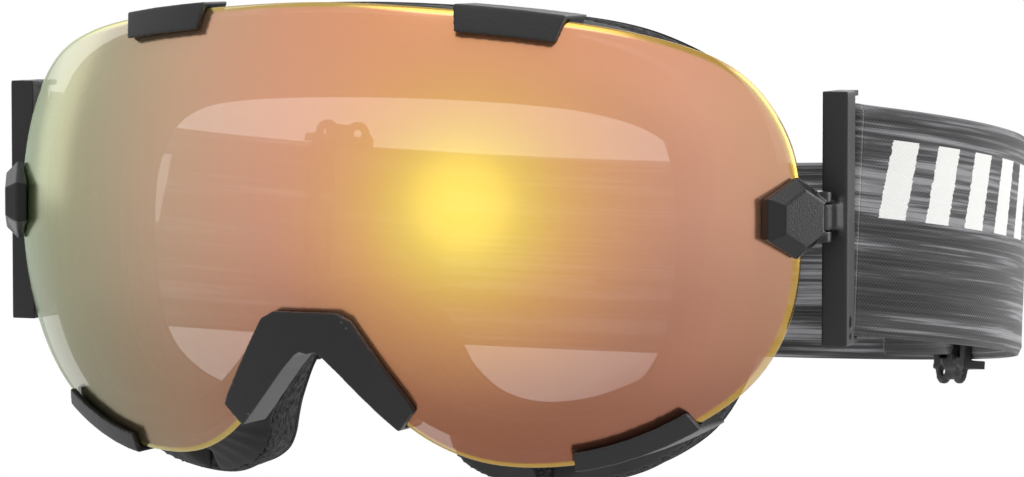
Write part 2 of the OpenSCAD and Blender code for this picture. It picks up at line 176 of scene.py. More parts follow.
# Outer lens. A 1.2 mm polycarbonate sheet, thermoformed to a ball and cut to its
# outline, with a rose-gold mirror coating fired on its front. The cut edge is
# polished, and the clips, the nose piece and the hubs hold it on the carrier.
def rims(node, facing):
    """Closed edges of the faces of a CAD node that look along facing, the longest first.
    Each starts at its top middle and they all turn the same way."""
    shape = bmesh.new()
    shape.from_mesh(nodes[node].data)
    bmesh.ops.remove_doubles(shape, verts=shape.verts, dist=2e-6)
    shape.normal_update()
    chosen = {f for f in shape.faces if f.normal.dot(Vector(facing)) > 0.3}
    after = {}
    for edge in shape.edges:
        if len([f for f in edge.link_faces if f in chosen]) == 1:
            a, b = edge.verts
            after.setdefault(a, []).append(b)
            after.setdefault(b, []).append(a)
    found = []
    while after:
        walk = [next(iter(after))]
        while True:
            ways = [v for v in after.get(walk[-1], []) if len(walk) < 2 or v is not walk[-2]]
            ways = [v for v in ways if v is walk[0] or v not in walk]
            if not ways or ways[0] is walk[0] and len(walk) > 2:
                break
            walk.append(ways[0])
        for v in walk:
            after.pop(v, None)
        line = np.array([v.co[:] for v in walk])
        found.append((np.linalg.norm(line - np.roll(line, 1, 0), axis=1).sum(), line))
    shape.free()
    turned = []
    for _, line in sorted(found, key=lambda pair: -pair[0]):
        x, z = line[:, 0], line[:, 2]
        if (x * np.roll(z, -1) - np.roll(x, -1) * z).sum() < 0:
            line = line[::-1]
        turned.append(np.roll(line, -int(np.argmax(line[:, 2] - 6 * abs(line[:, 0]))), axis=0))
    return turned


def evenly(line, count, calm=0):
    """A closed line with its points evenly spaced, then calmed a few times."""
    shut = np.vstack([line, line[:1]])
    run = np.concatenate([[0], np.cumsum(np.linalg.norm(np.diff(shut, axis=0), axis=1))])
    at = np.linspace(0, run[-1], count, endpoint=False)
    line = np.stack([np.interp(at, run, shut[:, k]) for k in range(3)], axis=1)
    for _ in range(calm):
        line = (np.roll(line, 1, 0) + 2 * line + np.roll(line, -1, 0)) / 4
    return line


def skinned(name, rows, joined=True, ring=True, ends=(None, None)):
    """Object over rows of points. joined ties the last row to the first, ring closes each row,
    and ends are the poles that close the first and the last row."""
    rows = np.asarray(rows)
    k, n = rows.shape[:2]
    points = rows.reshape(-1, 3).tolist()
    faces = []
    for a in range(k if joined else k - 1):
        b = (a + 1) % k
        for i in range(n if ring else n - 1):
            j = (i + 1) % n
            faces.append((a * n + i, a * n + j, b * n + j, b * n + i))
    for row, pole in zip((0, k - 1), ends):
        if pole is not None:
            points.append(list(pole))
            faces += [(row * n + i, row * n + (i + 1) % n, len(points) - 1) for i in range(n)]
    mesh = bpy.data.meshes.new(name)
    mesh.from_pydata(points, [], faces)
    shape = bmesh.new()
    shape.from_mesh(mesh)
    bmesh.ops.recalc_face_normals(shape, faces=shape.faces)
    shape.to_mesh(mesh)
    shape.free()
    mesh.shade_smooth()
    piece = bpy.data.objects.new(name, mesh)
    bpy.context.collection.objects.link(piece)
    return piece


def inward(line, width):
    """A closed outline moved inwards in the XZ plane, by a width in metres."""
    way = np.roll(line, -1, 0) - np.roll(line, 1, 0)
    side = np.stack([-way[:, 2], 0 * way[:, 0], way[:, 0]], axis=1)
    return line + width * side / np.linalg.norm(side, axis=1)[:, None]


def pane(name, outline, radius, thick, middle):
    """Closed sheet of a ball's skin inside an outline, with a polished edge. Each point has its
    distance from the edge, in centimetres, in the attribute from_edge."""
    def on_ball(flat, sunk):
        drop = radius - sunk
        y = middle.y - np.sqrt(drop ** 2 - flat[:, 0] ** 2 - flat[:, 2] ** 2)
        return np.stack([flat[:, 0], y, flat[:, 2]], axis=1)
    steps = [0.0045, 0.0036, 0.0029, 0.0023, 0.0019, 0.0016, 0.0013, 0.001, 0.0007, 0.0004, 0.00018]
    heart = np.array([0, 0, 0.006])
    inner = inward(outline, steps[0])
    inside = [heart + (inner - heart) * s for s in np.linspace(0.04, 1, 40)[:-1]]
    edge_drop = [0, 0, 0, 0, 0, 0, 0, 0.00003, 0.00012, 0.00022, 0.00036]
    rows = [on_ball(flat, 0) for flat in inside]
    rows += [on_ball(inward(outline, s), d) for s, d in zip(steps, edge_drop)]
    rows += [on_ball(outline, thick * 0.45), on_ball(outline, thick * 0.65)]
    behind = inside[::2] + [inward(outline, s) for s in (0.0036, 0.0019, 0.0007, 0.0002)]
    rows += [on_ball(flat, thick) for flat in reversed(behind)]
    poles = [on_ball(heart[None], d)[0] for d in (0, thick)]
    piece = skinned(name, rows, joined=False, ends=poles)
    gap = [np.linalg.norm(flat - outline, axis=1) for flat in inside]
    gap += [np.full(len(outline), s) for s in steps] + [np.zeros(len(outline))] * 2
    gap += [np.linalg.norm(flat - outline, axis=1) for flat in reversed(behind)]
    gap = np.concatenate(gap + [[0.03, 0.03]]) * 100
    piece.data.attributes.new("from_edge", "FLOAT", "POINT").data.foreach_set("value", gap)
    front = len(inside) + len(steps)
    return piece, front


lens_ball = Vector((0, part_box("outer_lens")[0].y + 0.109, 0))
lens_line = evenly(rims("outer_lens", (0, -1, 0))[0], 288, calm=4)
outer_lens, front_rows = pane("outer_lens_pane", lens_line, 0.109, 0.0012, lens_ball)


def finish(name, colour, **values):
    """New material with its colour and the shader's own values."""
    made = bpy.data.materials.new(name)
    made.use_nodes = True
    shader = made.node_tree.nodes["Principled BSDF"]
    shader.inputs["Base Color"].default_value = paint(colour)
    for name, value in values.items():
        shader.inputs[name.replace("_", " ").title().replace("Ior", "IOR")].default_value = value
    return made, made.node_tree, shader


# Mirror-coated polycarbonate: a metal-like skin that runs from green-grey to rose, with a painted amber highlight
# and painted shade towards the bottom, clear enough that white things behind it show faintly.
coating, tree, shader = finish("mirror_coated_polycarbonate", "#d79a78", metallic=0.85, roughness=0.2)
place = put(tree, "ShaderNodeTexCoord").outputs["Object"]
axes = put(tree, "ShaderNodeSeparateXYZ", {0: place}).outputs
across = put(tree, "ShaderNodeMapRange", {"Value": axes["X"], "From Min": -0.092, "From Max": 0.092})
sweep = put(tree, "ShaderNodeValToRGB", {0: across.outputs[0]}, stops=[
    (0.02, "#7fa558"), (0.07, "#98a272"), (0.2, "#b8ae90"), (0.32, "#d4b094"), (0.45, "#e6ac90"),
    (0.58, "#efae88"), (0.75, "#e9aa8a"), (0.9, "#dca48c"), (0.98, "#d0a286")])
# Painted shade: the coating's colour is darkened towards the bottom and lightened at the top, standing in for the
# dark and bright it would reflect; the darkening is weaker at negative x.
up = put(tree, "ShaderNodeMapRange", {"Value": axes["Z"], "From Min": -0.051, "From Max": 0.046})
painted_shade_right = put(tree, "ShaderNodeValToRGB", {0: up.outputs[0]}, stops=[
    (0.0, "#a4938f"), (0.14, "#b2a4a0"), (0.26, "#cbbfb9"), (0.37, "#dad0cc"), (0.55, "#f4eeea"),
    (0.78, "#fffaf0"), (1.0, "#fff4e4")])
painted_shade_left = put(tree, "ShaderNodeValToRGB", {0: up.outputs[0]}, stops=[
    (0.0, "#cbc6c0"), (0.14, "#d2cdc8"), (0.37, "#e6e2e0"), (0.6, "#f6f4f2"), (1.0, "#fffefa")])
side = put(tree, "ShaderNodeMapRange", {"Value": axes["X"], "From Min": -0.05, "From Max": 0.015},
           interpolation_type="SMOOTHSTEP")
painted_shade = put(tree, "ShaderNodeMix", {0: side.outputs[0], 6: painted_shade_left.outputs[0],
                                   7: painted_shade_right.outputs[0]}, data_type="RGBA")
base = put(tree, "ShaderNodeMix", {0: 1.0, 6: sweep.outputs[0], 7: painted_shade.outputs[2]},
           data_type="RGBA", blend_type="MULTIPLY")
# Painted highlight: a soft yellow-amber glow, 36 mm in radius, over the wearer's left eye. It is painted in as most
# of the warm front lamp's reflection, and the lamp adds the rest as a real reflection.
spot = put(tree, "ShaderNodeMapping", {"Vector": place, "Location": (-0.033, 0, -0.004)})
spot = put(tree, "ShaderNodeVectorMath", {0: spot.outputs[0], 1: (22, 0, 21)}, operation="MULTIPLY")
spot = put(tree, "ShaderNodeVectorMath", {0: spot.outputs[0]}, operation="LENGTH")
heart = put(tree, "ShaderNodeMapRange", {"Value": spot.outputs["Value"], "From Min": 0.1, "To Min": 1.0,
                                         "To Max": 0.0}, interpolation_type="SMOOTHSTEP")
painted_glow_colour = put(tree, "ShaderNodeValToRGB", {0: spot.outputs["Value"]}, stops=[
    (0.0, "#ffe668"), (0.25, "#fedc66"), (0.48, "#f6be66"), (0.8, "#ecae70")])
painted_glow_colour.color_ramp.interpolation = "B_SPLINE"
base = put(tree, "ShaderNodeMix", {0: heart.outputs[0], 6: base.outputs[2], 7: painted_glow_colour.outputs[0]},
           data_type="RGBA")
# The cut edge: a gold line, green on the wearer's right. It is partly the coating's tint on the polished edge and
# partly a painted highlight where the edge catches the light.
gap = put(tree, "ShaderNodeAttribute", attribute_name="from_edge").outputs["Fac"]
rim = put(tree, "ShaderNodeMapRange", {"Value": gap, "From Min": 0.07, "From Max": 0.12,
                                       "To Min": 1.0, "To Max": 0.0})
rim_tint_and_painted_highlight = put(tree, "ShaderNodeValToRGB", {0: across.outputs[0]}, stops=[
    (0.0, "#82b84e"), (0.06, "#8cba54"), (0.14, "#c2c678"), (0.3, "#c8b060"), (0.7, "#c8a24c"),
    (1.0, "#b8923e")])
base = put(tree, "ShaderNodeMix", {0: rim.outputs[0], 6: base.outputs[2], 7: rim_tint_and_painted_highlight.outputs[0]},
           data_type="RGBA")
tree.links.new(base.outputs[2], shader.inputs["Base Color"])
# The coating thins towards the edge on the wearer's right
thin = put(tree, "ShaderNodeMapRange", {"Value": gap, "From Min": 0.15, "From Max": 1.3,
                                        "To Min": 1.0, "To Max": 0.0}, interpolation_type="SMOOTHSTEP")
far_side = put(tree, "ShaderNodeMapRange", {"Value": axes["X"], "From Min": -0.035, "From Max": -0.075})
thin = put(tree, "ShaderNodeMath", {0: thin.outputs[0], 1: far_side.outputs[0]}, operation="MULTIPLY")
body = put(tree, "ShaderNodeMapRange", {"Value": thin.outputs[0], "To Min": 0.84, "To Max": 0.74})
# The skirt of the lens past the frame, on the wearer's left, is tinted through
skirt = put(tree, "ShaderNodeMapRange", {"Value": gap, "From Min": 2.2, "From Max": 0.8},
            interpolation_type="SMOOTHSTEP")
near_side = put(tree, "ShaderNodeMapRange", {"Value": axes["X"], "From Min": 0.045, "From Max": 0.07})
skirt = put(tree, "ShaderNodeMath", {0: skirt.outputs[0], 1: near_side.outputs[0]}, operation="MULTIPLY")
body = put(tree, "ShaderNodeMix", {0: skirt.outputs[0], 2: body.outputs[0], 3: 0.97})
body = put(tree, "ShaderNodeMix", {0: rim.outputs[0], 2: body.outputs[0], 3: 0.8})
tree.links.new(body.outputs[0], shader.inputs["Alpha"])

# Bare polycarbonate, the back of the lens: clear, with only its gloss
bare, tree, shader = finish("clear_polycarbonate", "#e9dcc8", roughness=0.08, ior=1.58, alpha=0.05)
for made in (coating, bare):
    outer_lens.data.materials.append(made)
slots = np.zeros(len(outer_lens.data.polygons), dtype=np.int32)
slots[(front_rows + 2) * 288:] = 1
slots[-576:-288] = 0
slots[-288:] = 1
outer_lens.data.polygons.foreach_set("material_index", slots)
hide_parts("outer_lens")
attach(outer_lens, "root")

# Inner lens, gasket and carrier. The inner pane is clear cellulose propionate with an
# anti-fog skin, a strip of black foam glued round it keeps the air gap, and a
# stiff black nylon ring carries both lenses and snaps into the soft frame.
inner_line = evenly(rims("inner_lens", (0, -1, 0))[0], 288, calm=3)
inner_lens, _ = pane("inner_lens_pane", inner_line, 0.1028, 0.0009, lens_ball)
fog_skin, tree, shader = finish("clear_propionate", "#e6dccb", roughness=0.1, ior=1.48, alpha=0.05)
inner_lens.data.materials.append(fog_skin)
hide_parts("inner_lens")
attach(inner_lens, "root")


def settled(piece):
    """The piece with its modifiers applied to its mesh."""
    seen = piece.evaluated_get(bpy.context.evaluated_depsgraph_get())
    mesh = bpy.data.meshes.new_from_object(seen)
    piece.modifiers.clear()
    piece.data = mesh
    mesh.shade_smooth()
    return piece


def moulded(name, node, grain, passes, more=(), cuts=()):
    """Closed copy of a CAD node with its edges eased, as a mould leaves them. more are
    closed meshes that grow into it, and cuts are boxes (low, high) taken out of it."""
    shape = bmesh.new()
    shape.from_mesh(nodes[node].data)
    bmesh.ops.remove_doubles(shape, verts=shape.verts, dist=2e-6)
    for extra in more:
        shape.from_mesh(extra)
    mesh = bpy.data.meshes.new(name)
    shape.to_mesh(mesh)
    shape.free()
    piece = bpy.data.objects.new(name, mesh)
    bpy.context.collection.objects.link(piece)
    skin = piece.modifiers.new("skin", "REMESH")
    skin.mode, skin.voxel_size = "VOXEL", grain
    blocks = []
    for low, high in cuts:
        block = bpy.data.meshes.new(name + "_cut")
        shape = bmesh.new()
        bmesh.ops.create_cube(shape, size=1)
        for v in shape.verts:
            v.co = Vector([(a + b) / 2 + c * (b - a) for a, b, c in zip(low, high, v.co)])
        shape.to_mesh(block)
        shape.free()
        block = bpy.data.objects.new(name + "_cut", block)
        bpy.context.collection.objects.link(block)
        slot = piece.modifiers.new("slot", "BOOLEAN")
        slot.object, slot.operation, slot.solver = block, "DIFFERENCE", "EXACT"
        blocks.append(block)
    if cuts:
        again = piece.modifiers.new("again", "REMESH")
        again.mode, again.voxel_size = "VOXEL", grain
    ease = piece.modifiers.new("ease", "SMOOTH")
    ease.factor, ease.iterations = 0.5, passes
    settled(piece)
    for block in blocks:
        bpy.data.objects.remove(block)
    return piece


def goes_in(piece, node, body, material):
    """The piece stands for a CAD node, rides on a body and takes its finish."""
    piece.data.materials.clear()
    piece.data.materials.append(material)
    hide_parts(*([node] if isinstance(node, str) else node))
    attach(piece, body)
    return piece


def section(corners, rounding, swell, plies=5):
    """Rows of points round the section of a closed foam ring. corners are its four lines of
    points in order, rounding each corner's radius, swell how far each side crowns."""
    rows = []
    middle = sum(corners) / 4
    for k in range(4):
        before, here, after = corners[k - 1], corners[k], corners[(k + 1) % 4]
        back_way, way = here - before, after - here
        reach = np.linalg.norm(way, axis=1)[:, None]
        back_way, way = back_way / np.linalg.norm(back_way, axis=1)[:, None], way / reach
        a, b = here - rounding[k] * back_way, here + rounding[k] * way
        for t in (0.0, 0.2, 0.4, 0.6, 0.8, 1.0):
            rows.append((1 - t) ** 2 * a + 2 * t * (1 - t) * here + t * t * b)
        out = (here + after) / 2 - middle
        out = out - (out * way).sum(1)[:, None] * way
        out = out / np.linalg.norm(out, axis=1)[:, None]
        stop = after - rounding[(k + 1) % 4] * way
        for t in np.linspace(0, 1, plies + 2)[1:-1]:
            rows.append(b + (stop - b) * t + out * swell[k] * math.sin(math.pi * t))
    return rows


def finer(line, k):
    """A closed line of points made k times as fine on a smooth curve."""
    p0, p1, p2, p3 = (np.roll(line, s, axis=0) for s in (1, 0, -1, -2))
    rows = [0.5 * (2 * p1 + (p2 - p0) * t + (2 * p0 - 5 * p1 + 4 * p2 - p3) * t * t
                   + (3 * p1 - p0 - 3 * p2 + p3) * t ** 3) for t in np.arange(k) / k]
    return np.stack(rows, axis=1).reshape(-1, 3)


def ring_corners(node, k=3):
    """The four edges of a CAD foam ring: front outer, back outer, back inner, front inner."""
    front, behind = rims(node, (0, -1, 0)), rims(node, (0, 1, 0))
    return [finer(line, k) for line in (front[0], behind[0], behind[1], front[1])]


# Closed-cell EVA foam: black, matt, with fine closed pores
gasket_foam, tree, shader = finish("closed_cell_eva_foam", "#1d1d1e", roughness=0.9)
place = put(tree, "ShaderNodeTexCoord").outputs["Object"]
cells = put(tree, "ShaderNodeTexVoronoi", {"Vector": place, "Scale": 2400.0})
bump = put(tree, "ShaderNodeBump", {"Height": cells.outputs["Distance"], "Strength": 0.5, "Distance": 0.0003})
tree.links.new(bump.outputs[0], shader.inputs["Normal"])
corners = []
for line in (evenly(rims("lens_gasket", (0, -1, 0))[0], 288, 3), evenly(rims("lens_gasket", (0, 1, 0))[0], 288, 3),
             evenly(rims("lens_gasket", (0, 1, 0))[1], 288, 3), evenly(rims("lens_gasket", (0, -1, 0))[1], 288, 3)):
    corners.append(line)
gasket = skinned("gasket_strip", section(corners, [0.0004] * 4, [0.0002, 0, 0.0003, 0], 3))
goes_in(gasket, "lens_gasket", "root", gasket_foam)

# Moulded nylon: black with a fine spark-eroded texture, so it is satin. Its eased edges are painted pale, a painted
# highlight of thin lines where they would catch the light.
def moulded_nylon(name, colour, edge, roughness=0.42, grit=2600.0):
    made, tree, shader = finish(name, colour, roughness=roughness)
    shader.inputs["Specular IOR Level"].default_value = 0.3
    place = put(tree, "ShaderNodeTexCoord").outputs["Object"]
    cloud = put(tree, "ShaderNodeTexNoise", {"Vector": place, "Scale": 90.0, "Detail": 3.0})
    tone = put(tree, "ShaderNodeValToRGB", {0: cloud.outputs["Fac"]}, stops=[(0.3, 0.82), (0.7, 1.0)])
    base = put(tree, "ShaderNodeMix", {0: 1.0, 6: paint(colour), 7: tone.outputs[0]},
               data_type="RGBA", blend_type="MULTIPLY")
    # Painted highlight: pointed edges are mixed towards the pale edge colour, as thin lines of caught light.
    painted_edge_highlight = put(tree, "ShaderNodeMapRange", {"Value": put(tree, "ShaderNodeNewGeometry").outputs["Pointiness"],
                                            "From Min": 0.56, "From Max": 0.72})
    base = put(tree, "ShaderNodeMix", {0: painted_edge_highlight.outputs[0], 6: base.outputs[2], 7: paint(edge)},
               data_type="RGBA")
    tree.links.new(base.outputs[2], shader.inputs["Base Color"])
    sparks = put(tree, "ShaderNodeTexNoise", {"Vector": place, "Scale": grit, "Detail": 2.0})
    bump = put(tree, "ShaderNodeBump", {"Height": sparks.outputs["Fac"], "Strength": 0.35,
                                        "Distance": 0.00012})
    tree.links.new(bump.outputs[0], shader.inputs["Normal"])
    return made


clip_nylon = moulded_nylon("spark_textured_nylon", "#232324", "#606060")
carrier = moulded("carrier_ring", "lens_carrier", 0.0005, 2)
goes_in(carrier, "lens_carrier", "root", clip_nylon)

# Nose piece and four lens clips, moulded in glass-filled nylon. Each laps the face of
# the lens, goes round its edge and reaches back to the carrier, which it snaps on.
nose = moulded("nose_piece", "nose_clip", 0.0003, 4)
goes_in(nose, "nose_clip", "root", clip_nylon)
for where in ("top_left", "top_right", "bottom_left", "bottom_right"):
    clip = moulded(where + "_lens_clip", where + "_clip", 0.00028, 3)
    goes_in(clip, where + "_clip", "root", clip_nylon)

# Soft frame, injection moulded in thermoplastic polyurethane so that it follows the
# face. It carries the lens ring in front and the foam behind, and its vent windows
# along the brow and under the cheeks are backed with open foam.
rubber, tree, shader = finish("moulded_polyurethane", "#303031", roughness=0.58)
shader.inputs["Specular IOR Level"].default_value = 0.3
place = put(tree, "ShaderNodeTexCoord").outputs["Object"]
cloud = put(tree, "ShaderNodeTexNoise", {"Vector": place, "Scale": 60.0, "Detail": 4.0})
tone = put(tree, "ShaderNodeValToRGB", {0: cloud.outputs["Fac"]}, stops=[(0.3, "#1c1c1d"), (0.7, "#262627")])
tree.links.new(tone.outputs[0], shader.inputs["Base Color"])
skin = put(tree, "ShaderNodeTexNoise", {"Vector": place, "Scale": 1500.0, "Detail": 2.0})
bump = put(tree, "ShaderNodeBump", {"Height": skin.outputs["Fac"], "Strength": 0.3, "Distance": 0.0002})
tree.links.new(bump.outputs[0], shader.inputs["Normal"])
soft_frame = moulded("soft_frame", "frame", 0.00065, 4)
goes_in(soft_frame, "frame", "root", rubber)


def foam_finish(name, dark, light, pore, depth):
    """Reticulated polyurethane foam: open pores of a given number to the metre, with
    specks of lighter struts, so the surface looks peppered and takes no shine."""
    made, tree, shader = finish(name, dark, roughness=0.95)
    shader.inputs["Specular IOR Level"].default_value = 0.15
    place = put(tree, "ShaderNodeTexCoord").outputs["Object"]
    pores = put(tree, "ShaderNodeTexVoronoi", {"Vector": place, "Scale": pore, "Randomness": 1.0})
    specks = put(tree, "ShaderNodeTexNoise", {"Vector": place, "Scale": pore * 0.7, "Detail": 4.0})
    tone = put(tree, "ShaderNodeValToRGB", {0: specks.outputs["Fac"]},
               stops=[(0.36, dark), (0.62, light)])
    tree.links.new(tone.outputs[0], shader.inputs["Base Color"])
    rough = put(tree, "ShaderNodeMath", {0: pores.outputs["Distance"], 1: specks.outputs["Fac"]},
                operation="ADD")
    bump = put(tree, "ShaderNodeBump", {"Height": rough.outputs[0], "Strength": 0.8, "Distance": depth})
    tree.links.new(bump.outputs[0], shader.inputs["Normal"])
    return made


filter_foam = foam_finish("open_filter_foam", "#1c1c1d", "#3c3c3e", 900.0, 0.0008)
for where in ("top", "bottom"):
    band = moulded(where + "_vent_filter", where + "_vent_foam", 0.0005, 2)
    goes_in(band, where + "_vent_foam", "root", filter_foam)

# Face pad. A firm and a soft layer of polyurethane foam, die-cut to the frame and
# glued to it and to each other, with a brushed fleece on the side that meets the face.
firm_tone = foam_finish("firm_polyurethane_foam", "#242425", "#444446", 1500.0, 0.0004)
soft_tone = foam_finish("soft_polyurethane_foam", "#2a2a2b", "#4e4e50", 1100.0, 0.0006)
for node, tone, slot in (("firm_foam", firm_tone, "firm_foam"), ("soft_foam", soft_tone, "soft_foam")):
    rows = section(ring_corners(node), [0.0008, 0.0008, 0.0012, 0.0012], [0.0005, 0, 0.0008, 0])
    layer = skinned(node + "_layer", rows)
    goes_in(layer, node, "root", tone)

# Brushed polyester fleece: near black, with a short pile that goes pale at its rim
fleece_pile, tree, shader = finish("brushed_polyester_fleece", "#232325", roughness=1.0)
shader.inputs["Specular IOR Level"].default_value = 0.05
shader.inputs["Sheen Weight"].default_value = 0.35
shader.inputs["Sheen Roughness"].default_value = 0.5
place = put(tree, "ShaderNodeTexCoord").outputs["Object"]
tufts = put(tree, "ShaderNodeTexNoise", {"Vector": place, "Scale": 1300.0, "Detail": 5.0, "Roughness": 0.7})
naps = put(tree, "ShaderNodeTexNoise", {"Vector": place, "Scale": 70.0, "Detail": 3.0})
tone = put(tree, "ShaderNodeMath", {0: tufts.outputs["Fac"], 1: naps.outputs["Fac"]}, operation="MULTIPLY")
tone = put(tree, "ShaderNodeValToRGB", {0: tone.outputs[0]}, stops=[(0.14, "#161617"), (0.4, "#3d3d40")])
tree.links.new(tone.outputs[0], shader.inputs["Base Color"])
bump = put(tree, "ShaderNodeBump", {"Height": tufts.outputs["Fac"], "Strength": 0.9, "Distance": 0.0005})
tree.links.new(bump.outputs[0], shader.inputs["Normal"])
corners = ring_corners("face_fleece")
fleece = skinned("face_fleece_skin", section(corners, [0.0004, 0.0009, 0.0009, 0.0004],
                                             [0.0003, 0.0004, 0.0003, 0], 9))
goes_in(fleece, "face_fleece", "root", fleece_pile)

# Overlock stitch round the fleece's outer edge, in grey polyester thread
sewing = bpy.data.node_groups.new("stitches_along_a_line", "GeometryNodeTree")
for label, kind in (("Line", "NodeSocketGeometry"), ("Pitch", "NodeSocketFloat"),
                    ("Stitch Length", "NodeSocketFloat"), ("Thread", "NodeSocketFloat"),
                    ("Finish", "NodeSocketMaterial")):
    sewing.interface.new_socket(name=label, in_out="INPUT", socket_type=kind)
sewing.interface.new_socket(name="Stitches", in_out="OUTPUT", socket_type="NodeSocketGeometry")
given = put(sewing, "NodeGroupInput").outputs
seam = put(sewing, "GeometryNodeMeshToCurve", {"Mesh": given["Line"]})
holes = put(sewing, "GeometryNodeCurveToPoints", {"Curve": seam.outputs[0], "Length": given["Pitch"]},
            mode="LENGTH")
bead = put(sewing, "GeometryNodeMeshUVSphere", {"Segments": 8, "Rings": 6, "Radius": 0.5})
size = put(sewing, "ShaderNodeCombineXYZ", {0: given["Thread"], 1: given["Thread"],
                                            2: given["Stitch Length"]})
laid = put(sewing, "GeometryNodeInstanceOnPoints", {
    "Points": holes.outputs["Points"], "Instance": bead.outputs[0],
    "Rotation": holes.outputs["Rotation"], "Scale": size.outputs[0]})
real = put(sewing, "GeometryNodeRealizeInstances", {0: laid.outputs[0]})
real = put(sewing, "GeometryNodeSetMaterial", {"Geometry": real.outputs[0], "Material": given["Finish"]})
put(sewing, "NodeGroupOutput", {0: real.outputs[0]})


def stitched(name, line, pitch, length, thread, material, closed=False):
    """A run of stitches along points, as a plain mesh."""
    mesh = bpy.data.meshes.new(name)
    count = len(line)
    pairs = [(i, (i + 1) % count) for i in range(count if closed else count - 1)]
    mesh.from_pydata([list(p) for p in line], pairs, [])
    piece = bpy.data.objects.new(name, mesh)
    bpy.context.collection.objects.link(piece)
    sewn = piece.modifiers.new("sewing", "NODES")
    sewn.node_group = sewing
    wanted = {"Pitch": pitch, "Stitch Length": length, "Thread": thread, "Finish": material}
    for item in sewing.interface.items_tree:
        if item.name in wanted and item.in_out == "INPUT":
            sewn[item.identifier] = wanted[item.name]
    piece.update_tag()
    return settled(piece)


thread, tree, shader = finish("bonded_polyester_thread", "#77777a", roughness=0.7)
place = put(tree, "ShaderNodeTexCoord").outputs["Object"]
twist = put(tree, "ShaderNodeTexNoise", {"Vector": place, "Scale": 2500.0})
tone = put(tree, "ShaderNodeValToRGB", {0: twist.outputs["Fac"]},
           stops=[(0.35, "#5f5f62"), (0.65, "#8c8c90")])
tree.links.new(tone.outputs[0], shader.inputs["Base Color"])
face, inside = corners[1], corners[2]
across_pad = (inside - face) / np.linalg.norm(inside - face, axis=1)[:, None]
line = face + across_pad * 0.0016 + np.array([0, 0.0002, 0])
overlock = stitched("fleece_edge_stitches", line, 0.0022, 0.0015, 0.00035, thread, closed=True)
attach(overlock, "root")

# Hubs. Each side has a hexagonal nylon cap over the lens's edge, with a knuckle
# behind it for the outrigger's hinge, held to the frame by one screw from inside.
hub_nylon = moulded_nylon("satin_moulded_nylon", "#1c1c1e", "#8c8c8e", roughness=0.3, grit=2200.0)
for where in ("left", "right"):
    hub = moulded(where + "_hub_cap", where + "_hub", 0.00024, 3)
    goes_in(hub, where + "_hub", "root", hub_nylon)

# Hub screws, zinc-plated steel with a hexagon socket, and the ground steel hinge pins
# and strap bars. Plating is bright with a fine turned grain.
steel, tree, shader = finish("zinc_plated_steel", "#b4b6b8", metallic=1.0, roughness=0.3)
place = put(tree, "ShaderNodeTexCoord").outputs["Object"]
grain = put(tree, "ShaderNodeTexNoise", {"Vector": place, "Scale": 1800.0, "Detail": 3.0})
rough = put(tree, "ShaderNodeMapRange", {"Value": grain.outputs["Fac"], "To Min": 0.22, "To Max": 0.42})
tone = put(tree, "ShaderNodeValToRGB", {0: grain.outputs["Fac"]}, stops=[(0.3, "#a2a4a6"), (0.7, "#bec0c2")])
tree.links.new(tone.outputs[0], shader.inputs["Base Color"])
tree.links.new(rough.outputs[0], shader.inputs["Roughness"])
for where in ("left", "right"):
    low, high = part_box(where + "_hub_screw")
    heart, way = (low + high) / 2, 1 if where == "right" else -1
    head = low.x if where == "right" else high.x
    ring = np.linspace(0, 2 * math.pi, 49)[:-1]
    hexed = 0.0009 / np.cos((ring % (math.pi / 3)) - math.pi / 6)
    # depth behind the head's face and radius: the socket, the head and its underside
    turned_rows = [(0.0009, hexed), (0, hexed), (-0.0001, hexed + 0.0001),
                   (-0.0001, 0.0016), (0.0001, 0.00185), (0.0006, 0.00195),
                   (0.0012, 0.00195), (0.0013, 0.00175), (0.0013, 0.001)]
    for turn in range(15):
        turned_rows += [(0.0018 + turn * 0.0007, 0.00085), (0.0021 + turn * 0.0007, 0.001)]
    rows = []
    for deep, radius in turned_rows:
        x = np.full(48, head + way * (deep + 0.0001))
        rows.append(np.stack([x, heart.y + radius * np.cos(ring), heart.z + radius * np.sin(ring)], axis=1))
    point = 0.6 * (rows[-1] - rows[-1].mean(0)) * [0, 1, 1]
    rows.append(rows[-1] * [1, 0, 0] + [way * 0.0006, heart.y, heart.z] + point)
    screw = skinned(where + "_socket_screw", rows, joined=False, ends=(rows[0].mean(0), rows[-1].mean(0)))
    screw.data.set_sharp_from_angle(angle=0.6)
    goes_in(screw, where + "_hub_screw", "root", steel)
    for node in (where + "_hinge_pin", where + "_strap_bar"):
        nodes[node].data.materials.clear()
        nodes[node].data.materials.append(steel)

